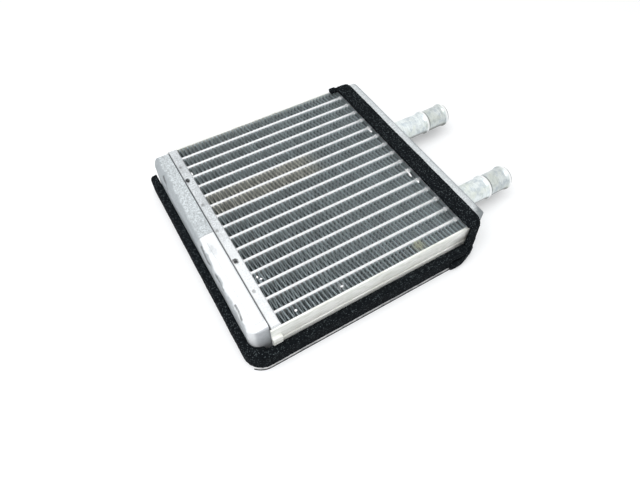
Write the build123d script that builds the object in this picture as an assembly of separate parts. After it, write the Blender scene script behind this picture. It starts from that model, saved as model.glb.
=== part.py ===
from build123d import *
from math import pi, tan
import os

# Heater core of a vehicle cabin heater, all aluminium, with two hose stubs and
# foam sealing tape. Millimetres. X runs along the tubes towards the stubs, Y
# across the stack of tubes and Z through the thickness. The origin is the
# middle of the footprint, on the surface that the core lies on.

# Core of tubes and fins
TUBE_COUNT = 15
TUBE_GAP = 8.0              # free height of one fin row, between two tubes
TUBE_THICK = 1.8
TUBE_WALL = 0.35
TUBE_NOSE = 0.5             # bevels along the tube's two narrow edges
TUBE_WIDTH = 27.0           # depth of the core in the air's direction
CORE_LENGTH = 132.0         # between the two header plates
TUBE_STICK = 1.5            # how far a tube stands through its header plate
FIN_FOLDS = 20              # whole waves in one fin row
FIN_GAUGE = 0.32
FIN_INSET = 0.25            # fin edge below the tube edge, each side
BRAZE_GAP = 0.02            # between brazed faces

# Header trays
HEADER_GAUGE = 1.2
HEADER_DEPTH = 6.2
HEADER_HEIGHT = 31.0
HEADER_CORNER = 1.6
HEADER_LIP = 1.0            # rounding of the edges on the core's side
STAKE_LENGTH = 3.2          # windows where the tray is staked to the tank
STAKE_WIDTH = 2.0
STAKE_INSET = 0.8           # from the rim of the tray
STAKE_PLACES = (49.2, 122.9)

# Tanks
TANK_GAUGE = 1.2
TANK_REACH = 18.5           # left tank, from the header plate's core side to the outer wall
STUB_TANK_REACH = 17.5      # right tank
TANK_INSET = 1.0            # tank ends stand inside the ends of the stack
TANK_CORNER = 7.0
TANK_EDGE = 4.4             # rounding along the outer wall
TANK_END_EDGE = 1.8         # rounding of the end faces
SEAM_GAP = 0.5
SPIGOT_GAP = 0.5            # from the tank's rim to the tube ends
SPIGOT_PLAY = 0.05
PRESS_STEP = 0.5            # near part of the left tank is pressed this much higher
PRESS_END = 75.5            # where the higher part ends, from the near plate
PRESS_MARGIN = 0.8
PARTITION_GAUGE = 1.2
PARTITION_AFTER = 7         # the partition stands between this tube and the next

# Side plates
PLATE_GAUGE = 1.2
PLATE_JOG = 0.5             # pressed step along the lower part
PLATE_JOG_LEVEL = 16.4
PLATE_JOG_RUN = 0.8
PLATE_OVERHANG = 6.9        # past the header plate, over the tray's end
PLATE_FOOT = 1.6            # plate's lower edge above the floor
PLATE_PROUD = 0.2           # plate's top edge above the tube edges
HOOK_LENGTH = 5.8
HOOK_REACH = 2.0
HOOK_TOP = 21.8
HOOK_DROP = 6.8
HOOK_GAUGE = 1.0

# Hose stubs
STUB_RADIUS = 8.0
STUB_BORE = 6.8
BEAD_RADIUS = 8.8
BEAD_LAND = 2.0
BEAD_SLOPE = 2.6
BEAD_BACK = 1.4
BEAD_SPACING = 18.0
MOUTH_LENGTH = 2.2          # from the end bead's middle to the mouth
MOUTH_RADIUS = 7.6
STUB_STICK = 1.5            # inside the tank wall
STUB_PLAY = 0.05
LONG_STUB = 48.5            # from the tank wall to the mouth
SHORT_STUB = 44.0
LONG_STUB_PLACE = 102.5     # stub axes, from the near plate's inner face
SHORT_STUB_PLACE = 27.7

# Foam tape
TAPE_WIDTH = 13.2           # left and near strips stand on edge
TAPE_THICK = 5.4
TAPE_END_RADIUS = 4.0
TOP_WIDTH = 10.4            # top strip, pressed flatter than the others
TOP_THICK = 3.9
TOP_SHORT = 2.7             # from the top strip's far end to the end of the stack
TOP_OVERLAP = 2.4           # top strip hangs over the header plate's core side
FOLD_RADIUS = 6.4
CORNER_RUN = 0.1            # left strip's straight end, past its corner
LEFT_TAPE_END = 157.5       # left strip's end, from the near plate
DOWN_EDGE = 0.4             # folded end's left edge, past the header plate
DOWN_HEAD = 1.3             # folded end outside the near plate, at the fold
DOWN_FOOT = 3.4             # and at the floor
FLAP_LENGTH = 14.0          # end of the top strip, splayed on the floor
FLAP_OUT = 2.5
FLAP_HEIGHT = 7.0
CURL_LENGTH = 5.4           # far end of the top strip, curled over the plate
CURL_WIDTH = 4.4
CURL_LIFT = 1.2             # above the plate's top edge
CURL_RISE = 2.4             # above the tape's lower face

# Worked out from the sizes above
TUBE_PITCH = TUBE_THICK + TUBE_GAP
STACK = TUBE_COUNT * TUBE_THICK + (TUBE_COUNT + 1) * TUBE_GAP
TUBE_LOW = (HEADER_HEIGHT - TUBE_WIDTH) / 2
TUBE_HIGH = TUBE_LOW + TUBE_WIDTH
MIDDLE_HEIGHT = HEADER_HEIGHT / 2
PLATE_OUTER = PLATE_GAUGE + PLATE_JOG
SEAM = HEADER_DEPTH + SEAM_GAP          # tray and seam, past the header plate's core side
TUBE_END = HEADER_GAUGE + TUBE_STICK
SPIGOT_DEPTH = HEADER_DEPTH - TUBE_END - SPIGOT_GAP    # tank rim inside the tray
SHALLOW = min(TANK_REACH, STUB_TANK_REACH) - SEAM
CORNER = min(TANK_CORNER, SHALLOW - SEAM_GAP - TANK_GAUGE)    # a corner stays within its wall

LENGTH = TAPE_THICK + TANK_REACH + CORE_LENGTH + STUB_TANK_REACH + LONG_STUB
LEFT_FACE = -LENGTH / 2 + TAPE_THICK + TANK_REACH    # left header plate, core side
RIGHT_FACE = LEFT_FACE + CORE_LENGTH
STUB_WALL = RIGHT_FACE + STUB_TANK_REACH
TAPE_JOINT = LEFT_FACE - TANK_REACH + CORNER + CORNER_RUN    # left strip meets the near one

NEAR_REACH = PLATE_OUTER + TAPE_THICK + FLAP_OUT
FAR_REACH = PLATE_GAUGE + HOOK_REACH
NEAR = -(NEAR_REACH + STACK + FAR_REACH) / 2 + NEAR_REACH    # near plate, inner face
FAR = NEAR + STACK


def block(x0, x1, y0, y1, z0, z1):
    """A box between two corners."""
    size = Box(x1 - x0, y1 - y0, z1 - z0)
    return Pos((x0 + x1) / 2, (y0 + y1) / 2, (z0 + z1) / 2) * size


def prism_along_x(points, x0, x1):
    """An outline in Y and Z, carried from x0 to x1."""
    outline = make_face(Polyline(*[(x0, y, z) for y, z in points], close=True))
    return extrude(outline, amount=x1 - x0, dir=(1, 0, 0))


def prism_along_z(points, z0, z1):
    """An outline in X and Y, carried from z0 to z1."""
    outline = make_face(Polyline(*[(x, y, z0) for x, y in points], close=True))
    return extrude(outline, amount=z1 - z0, dir=(0, 0, 1))


def mirrored(shape):
    """The same piece at the stub side of the core."""
    middle = (LEFT_FACE + RIGHT_FACE) / 2
    return mirror(shape, about=Plane.YZ.offset(middle))


def tube_place(index):
    """Height of a tube's middle in the stack; the first is nearest."""
    return NEAR + TUBE_GAP + TUBE_THICK / 2 + index * TUBE_PITCH


def flat_tube(inset, place, x0, x1):
    """A flat tube's solid along X, inset by its wall or grown by a clearance."""
    section = Rectangle(TUBE_THICK - 2 * inset, TUBE_WIDTH - 2 * inset)
    bevel = TUBE_NOSE - (1 - tan(pi / 8)) * inset
    section = Plane.YZ * chamfer(section.vertices(), bevel)
    return Pos(x0, place, MIDDLE_HEIGHT) * extrude(section, amount=x1 - x0)


def tube(index):
    """One extruded flat tube, open at both ends."""
    place = tube_place(index)
    x0 = LEFT_FACE - TUBE_END
    x1 = RIGHT_FACE + TUBE_END
    return flat_tube(0, place, x0, x1) - flat_tube(TUBE_WALL, place, x0, x1)


def fin(index):
    """One corrugated fin row, folded from a thin strip."""
    low = NEAR + index * TUBE_PITCH + BRAZE_GAP
    high = low + TUBE_GAP - 2 * BRAZE_GAP
    wave = (CORE_LENGTH - 2 * BRAZE_GAP) / FIN_FOLDS
    start = LEFT_FACE + BRAZE_GAP
    depth = FIN_GAUGE * (high - low) / (wave / 2)
    crests = []
    roots = []
    for step in range(2 * FIN_FOLDS + 1):
        x = start + step * wave / 2
        if step % 2:
            crests.append((x, high))
            roots.append((x, high - depth))
        else:
            crests.append((x, low + depth))
            roots.append((x, low))
    points = crests + roots[::-1]
    return prism_along_z(points, TUBE_LOW + FIN_INSET, TUBE_HIGH - FIN_INSET)


def tray():
    """Left header tray: a slotted plate with a rim that holds the tank."""
    x0 = LEFT_FACE - HEADER_DEPTH
    body = block(x0, LEFT_FACE, NEAR, FAR, 0, HEADER_HEIGHT)
    lip = fillet(body.edges().filter_by(Axis.Y).group_by(Axis.X)[-1], HEADER_LIP)
    outside = fillet(body.edges().filter_by(Axis.X), HEADER_CORNER) & lip
    inside = block(
        x0, LEFT_FACE - HEADER_GAUGE,
        NEAR + HEADER_GAUGE, FAR - HEADER_GAUGE,
        HEADER_GAUGE, HEADER_HEIGHT - HEADER_GAUGE,
    )
    shape = outside - inside
    x0 = LEFT_FACE - 2 * HEADER_GAUGE
    x1 = LEFT_FACE + HEADER_GAUGE
    return shape - [
        flat_tube(-BRAZE_GAP, tube_place(index), x0, x1) for index in range(TUBE_COUNT)
    ]


def stake_windows():
    """Small windows in the upper rim of the left tray."""
    x0 = LEFT_FACE - HEADER_DEPTH + STAKE_INSET
    return [
        block(
            x0, x0 + STAKE_WIDTH,
            NEAR + place - STAKE_LENGTH / 2, NEAR + place + STAKE_LENGTH / 2,
            HEADER_HEIGHT - HEADER_GAUGE, HEADER_HEIGHT + HEADER_GAUGE,
        )
        for place in STAKE_PLACES
    ]


def tank_block(reach, inset, seam_side):
    """A tank's rounded body, or its hollow when inset by the gauge."""
    body = block(
        LEFT_FACE - reach + inset, seam_side,
        NEAR + TANK_INSET + inset, FAR - TANK_INSET - inset,
        inset, HEADER_HEIGHT - inset,
    )
    upright = body.edges().filter_by(Axis.Z).group_by(Axis.X)[0]
    lengthwise = body.edges().filter_by(Axis.Y).group_by(Axis.X)[0]
    crosswise = body.edges().filter_by(Axis.X)
    rounded_in_plan = fillet(upright, CORNER - inset)
    rounded_outwards = fillet(lengthwise, TANK_EDGE - inset)
    rounded_at_ends = fillet(crosswise, TANK_END_EDGE - inset)
    return rounded_in_plan & rounded_outwards & rounded_at_ends


def spigot(inset):
    """The tank's rim inside the tray, or its hollow when inset by the gauge."""
    side = HEADER_GAUGE + SPIGOT_PLAY + inset
    x1 = LEFT_FACE - HEADER_DEPTH + SPIGOT_DEPTH
    x0 = LEFT_FACE - SEAM - 2 * TANK_GAUGE
    return block(x0, x1, NEAR + side, FAR - side, side, HEADER_HEIGHT - side)


def tank(reach):
    """A tank at the left end without its pressed step: an open shell with a rim."""
    seam = LEFT_FACE - SEAM
    outside = tank_block(reach, 0, seam) + spigot(0)
    return outside - tank_block(reach, TANK_GAUGE, seam - TANK_GAUGE) - spigot(TANK_GAUGE)


def pressed_step():
    """Higher near part of the left tank's upper face."""
    seam = LEFT_FACE - SEAM
    shape = block(
        LEFT_FACE - TANK_REACH + TANK_EDGE + PRESS_MARGIN, seam - PRESS_MARGIN / 4,
        NEAR + TANK_INSET + TANK_EDGE + PRESS_MARGIN, NEAR + PRESS_END,
        HEADER_HEIGHT - TANK_GAUGE / 2, HEADER_HEIGHT + PRESS_STEP,
    )
    return chamfer(shape.faces().sort_by(Axis.Z)[-1].edges(), PRESS_STEP / 2)


def stub_holes():
    """Holes in the right tank's outer wall for the two stubs."""
    return [
        Pos(STUB_WALL, NEAR + place, MIDDLE_HEIGHT) * Rot(0, 90, 0)
        * Cylinder(STUB_RADIUS + STUB_PLAY, 4 * TANK_GAUGE)
        for place in (LONG_STUB_PLACE, SHORT_STUB_PLACE)
    ]


def partition():
    """Wall inside the right tank, between the two flow paths."""
    place = (tube_place(PARTITION_AFTER - 1) + tube_place(PARTITION_AFTER)) / 2
    y0 = place - PARTITION_GAUGE / 2
    y1 = place + PARTITION_GAUGE / 2

    def slab(x0, x1, wall):
        low = wall + SPIGOT_PLAY
        return block(x0, x1, y0, y1, low, HEADER_HEIGHT - low)

    rim_start = RIGHT_FACE + HEADER_DEPTH - SPIGOT_DEPTH
    body_start = RIGHT_FACE + SEAM + TANK_GAUGE
    outer = STUB_WALL - TANK_GAUGE
    in_tray = slab(RIGHT_FACE + HEADER_GAUGE, rim_start - SPIGOT_PLAY, HEADER_GAUGE)
    in_rim = slab(RIGHT_FACE + HEADER_GAUGE, outer - SPIGOT_PLAY,
                  HEADER_GAUGE + SPIGOT_PLAY + TANK_GAUGE)
    end_edges = in_rim.faces().sort_by(Axis.X)[-1].edges().filter_by(Axis.Y)
    in_rim = fillet(end_edges, TANK_EDGE - TANK_GAUGE)
    in_body = slab(body_start + SPIGOT_PLAY, outer - TANK_EDGE, TANK_GAUGE)
    return in_tray + in_rim + in_body


def plate_section():
    """Side plate's section in Y and Z, as the near one stands."""
    inner_jog = -PLATE_JOG
    outer = -PLATE_GAUGE
    top = TUBE_HIGH + PLATE_PROUD
    bend = PLATE_JOG_LEVEL + PLATE_JOG_RUN
    return [
        (0, top), (outer, top), (outer, bend),
        (outer - PLATE_JOG, PLATE_JOG_LEVEL), (outer - PLATE_JOG, PLATE_FOOT),
        (inner_jog, PLATE_FOOT), (inner_jog, PLATE_JOG_LEVEL), (0, bend),
    ]


def side_plate():
    """Near side plate, with the folded hook at its left end."""
    x0 = LEFT_FACE - PLATE_OVERHANG
    x1 = RIGHT_FACE + PLATE_OVERHANG
    points = [(NEAR + y, z) for y, z in plate_section()]
    shape = prism_along_x(points, x0, x1)
    face = NEAR - PLATE_GAUGE + PLATE_JOG / 2
    out = NEAR - PLATE_GAUGE - HOOK_REACH
    hook = block(x0, x0 + HOOK_LENGTH, out, face, HOOK_TOP - HOOK_DROP, HOOK_TOP)
    hook = fillet(hook.edges().filter_by(Axis.X).sort_by(Axis.Y)[:2].sort_by(Axis.Z)[-1:],
                  HOOK_GAUGE)
    behind = block(
        x0 - HOOK_GAUGE, x0 + HOOK_LENGTH + HOOK_GAUGE,
        out + HOOK_GAUGE, NEAR - PLATE_OUTER,
        HOOK_TOP - HOOK_DROP - HOOK_GAUGE, HOOK_TOP - HOOK_GAUGE,
    )
    return shape + (hook - behind)


def stub(length, place):
    """Hose stub with a stop bead and an end bead, turned about its axis."""
    wall = TANK_GAUGE + STUB_STICK
    end_bead = length - MOUTH_LENGTH
    points = [(-wall, STUB_BORE), (-wall, STUB_RADIUS)]
    for middle in (end_bead - BEAD_SPACING, end_bead):
        points.append((middle - BEAD_LAND / 2 - BEAD_SLOPE, STUB_RADIUS))
        points.append((middle - BEAD_LAND / 2, BEAD_RADIUS))
        points.append((middle + BEAD_LAND / 2, BEAD_RADIUS))
        if middle < end_bead:
            points.append((middle + BEAD_LAND / 2 + BEAD_BACK, STUB_RADIUS))
    points.append((length, MOUTH_RADIUS))
    points.append((length, STUB_BORE))
    profile = make_face(Polyline(*[(x, 0, r) for x, r in points], close=True))
    turned = revolve(profile, Axis.X, 360)
    return Pos(STUB_WALL, NEAR + place, MIDDLE_HEIGHT) * turned


def tape_left():
    """Foam tape along the left tank, bent round its near corner."""
    wall = LEFT_FACE - TANK_REACH
    end = NEAR + TANK_INSET
    outer_end = NEAR - PLATE_OUTER - TAPE_THICK
    far_end = NEAR + LEFT_TAPE_END
    outside = block(wall - TAPE_THICK, TAPE_JOINT, outer_end, far_end, 0, TAPE_WIDTH)
    corner = outside.edges().filter_by(Axis.Z).group_by(Axis.X)[0].sort_by(Axis.Y)[0]
    outside = fillet(corner, CORNER + TAPE_THICK)
    inside = block(wall, TAPE_JOINT + TAPE_THICK, end, far_end + TAPE_THICK,
                   -TAPE_THICK, TAPE_WIDTH + TAPE_THICK)
    corner = inside.edges().filter_by(Axis.Z).group_by(Axis.X)[0].sort_by(Axis.Y)[0]
    shape = outside - fillet(corner, CORNER)
    tip = shape.edges().filter_by(Axis.Z).sort_by(Axis.Y)[-2:]
    return fillet(tip.sort_by(Axis.X)[:1], min(TAPE_END_RADIUS, TAPE_THICK / 1.3))


def tape_near():
    """Foam tape along the near side plate."""
    face = NEAR - PLATE_OUTER
    x1 = RIGHT_FACE + DOWN_EDGE
    return block(TAPE_JOINT, x1, face - TAPE_THICK, face, 0, TAPE_WIDTH)


def tape_top():
    """Foam tape on the right header, folded down over the near end."""
    x0 = RIGHT_FACE - TOP_OVERLAP
    x1 = x0 + TOP_WIDTH
    down = RIGHT_FACE + DOWN_EDGE
    face = NEAR - PLATE_OUTER
    end = FAR - TOP_SHORT
    top = HEADER_HEIGHT + TOP_THICK
    fold = prism_along_x([
        (end, HEADER_HEIGHT), (end, top), (face - DOWN_HEAD, top),
        (face - DOWN_FOOT, 0), (face, 0), (face, HEADER_HEIGHT),
    ], x0, x1)
    bend = fold.edges().filter_by(Axis.X).group_by(Axis.Z)[-1].sort_by(Axis.Y)[0]
    fold = fillet(bend, FOLD_RADIUS)
    far_corner = fold.edges().filter_by(Axis.Z).sort_by(Axis.Y)[-2:].sort_by(Axis.X)[-1]
    fold = fillet(far_corner, TAPE_END_RADIUS)
    beside = block(x0 - TOP_WIDTH, down, face - TOP_WIDTH, NEAR, -TOP_WIDTH, HEADER_HEIGHT)
    out = face - TAPE_THICK
    splay = out - FLAP_OUT
    inner = face - DOWN_FOOT / 2
    flap = prism_along_z([
        (x1, inner), (x1, face - DOWN_FOOT), (down, out - FLAP_OUT / 3),
        (down - FLAP_LENGTH / 3, splay + FLAP_OUT / 6), (down - 3 * FLAP_LENGTH / 4, splay),
        (down - FLAP_LENGTH, splay + FLAP_OUT / 3), (down - FLAP_LENGTH, out),
        (down, out), (down, inner),
    ], 0, FLAP_HEIGHT)
    low = TUBE_HIGH + PLATE_PROUD + CURL_LIFT
    curl = block(x0 - CURL_LENGTH, x0, end - CURL_WIDTH / 3, end + 2 * CURL_WIDTH / 3,
                 low, HEADER_HEIGHT + CURL_RISE)
    return (fold - beside) + flap + curl


def all_pieces():
    """Every node's solid by its name."""
    left_tray = tray()
    pieces = {
        "header_left": left_tray - stake_windows(),
        "header_right": mirrored(left_tray),
        "tank_left": tank(TANK_REACH) + pressed_step(),
        "tank_right": mirrored(tank(STUB_TANK_REACH)) - stub_holes(),
        "tank_partition": partition(),
        "stub_long": stub(LONG_STUB, LONG_STUB_PLACE),
        "stub_short": stub(SHORT_STUB, SHORT_STUB_PLACE),
        "foam_left": tape_left(),
        "foam_near": tape_near(),
        "foam_top": tape_top(),
    }
    near_plate = side_plate()
    pieces["side_plate_near"] = near_plate
    pieces["side_plate_far"] = mirror(near_plate, about=Plane.XZ.offset(-(NEAR + FAR) / 2))
    for index in range(TUBE_COUNT):
        pieces[f"tube_{index + 1:02d}"] = tube(index)
    for index in range(TUBE_COUNT + 1):
        pieces[f"fin_{index + 1:02d}"] = fin(index)
    return pieces


def main():
    """Write one STEP file for each piece."""
    os.makedirs("parts", exist_ok=True)
    for name, shape in all_pieces().items():
        solids = shape.solids()
        whole = solids[0] if len(solids) == 1 else Compound(children=list(solids))
        whole.label = name
        export_step(whole, f"parts/{name}.step")


main()
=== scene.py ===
"""Surfaces of an aluminium cabin heater core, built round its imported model."""

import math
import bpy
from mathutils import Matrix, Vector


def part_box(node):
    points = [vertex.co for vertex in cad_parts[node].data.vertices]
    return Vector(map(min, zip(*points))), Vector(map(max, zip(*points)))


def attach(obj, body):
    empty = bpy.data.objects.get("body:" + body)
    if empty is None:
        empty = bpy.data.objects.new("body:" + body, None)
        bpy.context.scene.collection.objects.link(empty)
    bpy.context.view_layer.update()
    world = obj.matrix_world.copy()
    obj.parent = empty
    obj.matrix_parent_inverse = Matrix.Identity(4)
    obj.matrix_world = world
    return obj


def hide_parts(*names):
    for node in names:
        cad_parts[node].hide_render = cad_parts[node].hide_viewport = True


bl_info = {
    "name": "Heater core surfaces",
    "version": (1, 0, 0),
    "blender": (4, 5, 0),
    "location": "View3D > Sidebar > Heater core",
    "description": "Builds the fins, tanks, stubs, foam tape and finishes of a heater core",
    "category": "Object",
}

import bmesh
import bpy
from bpy.props import (
    FloatProperty, FloatVectorProperty, IntProperty, PointerProperty,
)
from bpy.types import Operator, Panel, PropertyGroup
from mathutils import Matrix, Vector, noise

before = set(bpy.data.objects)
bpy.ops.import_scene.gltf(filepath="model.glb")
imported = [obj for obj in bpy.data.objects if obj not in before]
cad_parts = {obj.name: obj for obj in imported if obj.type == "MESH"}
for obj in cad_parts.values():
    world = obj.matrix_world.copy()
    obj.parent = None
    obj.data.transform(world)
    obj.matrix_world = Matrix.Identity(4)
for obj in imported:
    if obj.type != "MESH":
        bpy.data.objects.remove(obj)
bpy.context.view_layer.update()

MM = 0.001
X, Y, Z = (1, 0, 0), (0, 1, 0), (0, 0, 1)
ROOT = "root"
MATERIALS = {}

TUBES = sorted(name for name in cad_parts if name.startswith("tube_"))
FINS = sorted(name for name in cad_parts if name.startswith("fin_"))
PLATES = ("side_plate_near", "side_plate_far")
STUBS = ("stub_long", "stub_short")
HEADERS = ("header_left", "header_right")
TANKS = ("tank_left", "tank_right")

# Dents pressed into the left tank's outer wall: place along Y, half length and depth, in mm
DENTS = (
    (56, 5, 0.55), (20, 26, 0.45), (-19.5, 3.5, 1.2), (-33, 9, 0.6), (-55, 7, 0.7),
)
# Creases in the left tank's outer wall, painted as lines of shade, each from one place to
# another, in mm
CREASES = (
    ((-103.9, 61.1, 30.0), (-105.4, 50.5, 27.7)),
    ((-104.5, -4.8, 29.5), (-105.4, -17.5, 28.0)),
    ((-105.5, -18.3, 28.0), (-105.2, -20.6, 23.0)),
    ((-105.1, -27.0, 28.6), (-105.5, -38.3, 27.5)),
    ((-103.8, -51.6, 30.1), (-104.5, -61.0, 29.5)),
)
# Faint stake marks on the left header: place in X and Y, in mm
FAINT_STAKES = ((-91.0, 24.0), (-91.6, 0.5), (-91.0, -49.0), (-91.3, 62.0))
# Deep stake marks on the left header: place in X and Y, in mm
DEEP_STAKES = ((-91.7, 48.4), (-91.2, -25.5))
# Drips of braze on the core's upper face: place in X and Y, reach along X and Y, in mm
DRIPS = (
    (41.8, 29.4, 0.8, 2.2), (40.9, -17.6, 0.6, 3.2), (40.4, -21.0, 0.6, 1.6),
    (41.6, -27.8, 0.7, 1.6), (-86.4, 54.9, 0.8, 1.6), (-75.9, -70.6, 0.9, 0.8),
    (-84.8, -40.4, 0.7, 0.9), (-83.4, -42.6, 1.0, 0.6), (-45.5, -70.6, 1.0, 0.7),
)
# Painted highlights on the fins' upper edges: place in X and Y and reach in mm, strength, colour
GLINTS = (
    (10.6, -69.6, 3.4, 0.7, (0.85, 0.87, 0.66)), (-45.5, -70.0, 2.6, 0.7, (0.8, 0.84, 0.86)),
    (-84.4, -41.5, 3.2, 0.6, (0.75, 0.82, 0.86)), (-37.0, -37.0, 2.2, 0.4, (0.7, 0.74, 0.76)),
)
# Fin rows painted lighter, as light falls through them: middle and half width along Y, then along
# X, in mm
LIT_ROWS = (22.8, 9.0)
LIT_STRETCH = (-55.0, 46.0)
# Step in the left tank's upper face: place along Y, in mm
STEP_Y = 1.0

# Painted light on a fin's flanks: the middle tone, and how far single flanks stray from it
FLANK_TONE = 0.42
FLANK_SPREAD = 0.3
# Painted light and shade on the flanks of the nearest fin row, and of the others
NEAR_CONTRAST = 0.6
FIN_CONTRAST = 0.32
# Waver of the flanks: waves a metre along a row, across it and through its depth
WAVER_SCALE = (130.0, 90.0, 55.0)
# Knocked place of a fin row: share of its length, and how much further on in the next rows
KNOCK_START = 0.07
KNOCK_STEP = 0.61
KNOCK_REACH = 7 * MM

# How a dull patch changes a metal: its share, its tone and its roughness
DULL_SHARE = 0.6
DULL_TONE = 0.72
DULL_ROUGHNESS = 1.35

# Reach of the braze beads at the tubes' ends, along X, Y and Z
BEAD_REACH = Vector((0.9, 0.6, 0.9)) * MM
# A dent pushes the tank's wall this way, and leaves it alone near the seam and the tape
DENT_PUSH = Vector((0.9, 0, -0.35))
HELD_STRETCH = 5 * MM

# Steps along a stub and round its lip, and the width of the painted shade in the groove at a bead
STUB_STEPS = 150
LIP_STEPS = 9
GROOVE = 0.75 * MM
# Tones of a stub, from -1, darkest, to 1, lightest: a painted highlight on each bead's crest,
# painted shade in the groove behind it and in the bore, a darker neck and lip
CREST_HIGHLIGHT, GROOVE_SHADE, NECK_TONE, LIP_TONE, BORE_SHADE = 1.1, -0.75, -0.22, -0.65, -0.6

# Spacing of the foam's open grain and of its slow waves
FOAM_GRAIN = 1.1 * MM
FOAM_WAVES = 14 * MM
# Strips at the tape's foot, the liner's edge and outside it a dark strip of painted shadow: where
# they start, the corner's radius and the tops of the two strips
STRIP_GAP = 0.3 * MM
STRIP_CORNER = 11.9 * MM
LINER_TOP, SHADOW_STRIP_TOP = 0.7 * MM, 0.4 * MM
# Its part of the corner, from an angle on and by a turn, in degrees, and its places along X
CORNER_START, CORNER_TURN = 222, 48
STRIP_PLACES = (-50.0 * MM, 0.0, 32.8 * MM)

# Stage, in metres: half the floor's width, its colour and glow, and the lamp
FLOOR_HALF = 3.0
FLOOR_TONE = (0.85, 0.86, 0.87)
FLOOR_GLOW = 0.17
LAMP_SIZE = 1.1
LAMP_PLACE = (-0.35, -0.15, 1.1)


def low(node):
    """Lowest corner of a node of the model."""
    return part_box(node)[0]


def high(node):
    """Highest corner of a node of the model."""
    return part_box(node)[1]


def middle(node):
    """Middle of a node of the model."""
    return (low(node) + high(node)) / 2


# The core's upper face, the seam at the left header, and the outer walls of the two tanks
CORE_TOP = high(TUBES[0]).z
SEAM_X = low("header_left").x
WALL_X = low("tank_left").x
STUB_WALL = high("tank_right").x
# The upper face again, in mm, for the marks that lie on it
TOP = CORE_TOP / MM


def size(name, about, default, **options):
    """A length that a user may change."""
    return FloatProperty(name=name, description=about, default=default, unit="LENGTH",
                         precision=5, **options)


def turn(name, about, default):
    """An angle that a user may change."""
    return FloatProperty(name=name, description=about, default=math.radians(default),
                         subtype="ANGLE")


def colour(name, about, default):
    """A colour that a user may change."""
    return FloatVectorProperty(name=name, description=about, default=default, size=3,
                               subtype="COLOR", min=0, max=1)


class FinSizes(PropertyGroup):
    """Sizes of the corrugated fin rows."""

    waves: IntProperty(name="Waves", description="Whole waves in one fin row",
                       default=47, min=4)
    gauge: size("Strip gauge", "Thickness of the fin strip", 0.12 * MM)
    crest: size("Crest width", "Width of the bend at each crest", 0.8 * MM)
    leg: size("Crest leg", "Plain length of strip at each side of a bend", 0.9 * MM)
    entry: size("Plain strip", "Strip without louvres along the edges and the middle", 1.2 * MM)
    louvres: IntProperty(name="Louvres", description="Louvres in each half of a flank",
                         default=9, min=1)
    louvre_angle: turn("Louvre angle", "Turn of a louvre out of its flank", 24)
    waver: size("Waver", "How far a flank bows sideways", 0.13 * MM)
    knock: size("Knock", "How far knocked flanks are pushed over", 0.4 * MM)


class TankSizes(PropertyGroup):
    """Sizes of the pressed tanks."""

    cell: size("Cell", "Spacing of the cuts that let a wall bend", 1.9 * MM)
    waver: size("Waver", "Height of the slow waves in a pressed wall", 0.15 * MM)
    wave_length: size("Wave length", "Length of the slow waves in a pressed wall", 15 * MM)


class StubSizes(PropertyGroup):
    """Sizes of the hose stubs."""

    bead_spacing: size("Bead spacing", "From the stop bead to the end bead", 18 * MM)
    mouth: size("Mouth", "From the end bead's middle to the mouth", 2.2 * MM)
    land: size("Bead land", "Flat top of a bead", 1.2 * MM)
    slope: size("Bead slope", "Rise of a bead on the tank's side", 2.2 * MM)
    back: size("Bead back", "Fall of a bead on the mouth's side", 1.0 * MM)
    rise: size("Bead rise", "Height of a bead over the stub", 0.8 * MM)
    wall: size("Wall", "Wall of the stub", 1.2 * MM)
    lip: size("Lip", "Rounding of the mouth", 0.6 * MM)
    segments: IntProperty(name="Segments", description="Steps round a stub",
                          default=80, min=12)


class TapeSizes(PropertyGroup):
    """Sizes of the foam tape."""

    cell: size("Cell", "Spacing of the foam's surface points", 0.8 * MM)
    rough: size("Roughness", "Height of the foam's open grain", 0.2 * MM)
    liner: size("Liner", "Width of the edge of the tape's liner", 0.5 * MM)


class StageSizes(PropertyGroup):
    """Camera and light."""

    lens: FloatProperty(name="Lens", description="Focal length for a 36 mm sensor",
                        default=27.84, unit="CAMERA")
    camera: FloatVectorProperty(name="Camera place", description="Where the camera stands",
                                default=(-0.1310, -0.1864, 0.27605), size=3,
                                subtype="TRANSLATION")
    tilt: turn("Camera tilt", "Turn of the view from straight down", 35.47)
    pan: turn("Camera pan", "Turn of the view about the vertical", -31.27)
    roll: turn("Camera roll", "Turn of the view about its own line", 0.66)
    sky: FloatProperty(name="Sky", description="Strength of the even light from all round",
                       default=0.62, min=0)
    lamp: FloatProperty(name="Lamp", description="Power of the large lamp overhead",
                        default=9.0, min=0, unit="POWER")


class Finishes(PropertyGroup):
    """Colours of the finishes."""

    tube: colour("Tube", "Bright extruded aluminium of the tubes", (0.88, 0.89, 0.90))
    # The fin colour is painted shade for the strip deep between the tubes
    fin: colour("Fin", "Dull strip deep between the tubes", (0.12, 0.15, 0.165))
    fin_edge: colour("Fin edge", "Bare edges of the fin strip", (0.72, 0.82, 0.85))
    header: colour("Header", "Pressed aluminium of the header trays", (0.60, 0.63, 0.65))
    tank: colour("Tank", "Pressed aluminium of the tanks", (0.54, 0.58, 0.60))
    plate: colour("Plate", "Warm bloom of the side plates", (0.92, 0.95, 0.89))
    stub: colour("Stub", "Turned aluminium of the stubs", (0.84, 0.90, 0.90))
    foam: colour("Foam", "Black of the foam tape", (0.004, 0.005, 0.006))
    speck: colour("Speck", "Light specks in the foam", (0.15, 0.18, 0.19))


class CoreSettings(PropertyGroup):
    """All that a user can change on the heater core."""

    fin: PointerProperty(type=FinSizes)
    tank: PointerProperty(type=TankSizes)
    stub: PointerProperty(type=StubSizes)
    tape: PointerProperty(type=TapeSizes)
    stage: PointerProperty(type=StageSizes)
    finish: PointerProperty(type=Finishes)


def settings():
    """The settings that the operators read."""
    return bpy.context.scene.heater_core


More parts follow.
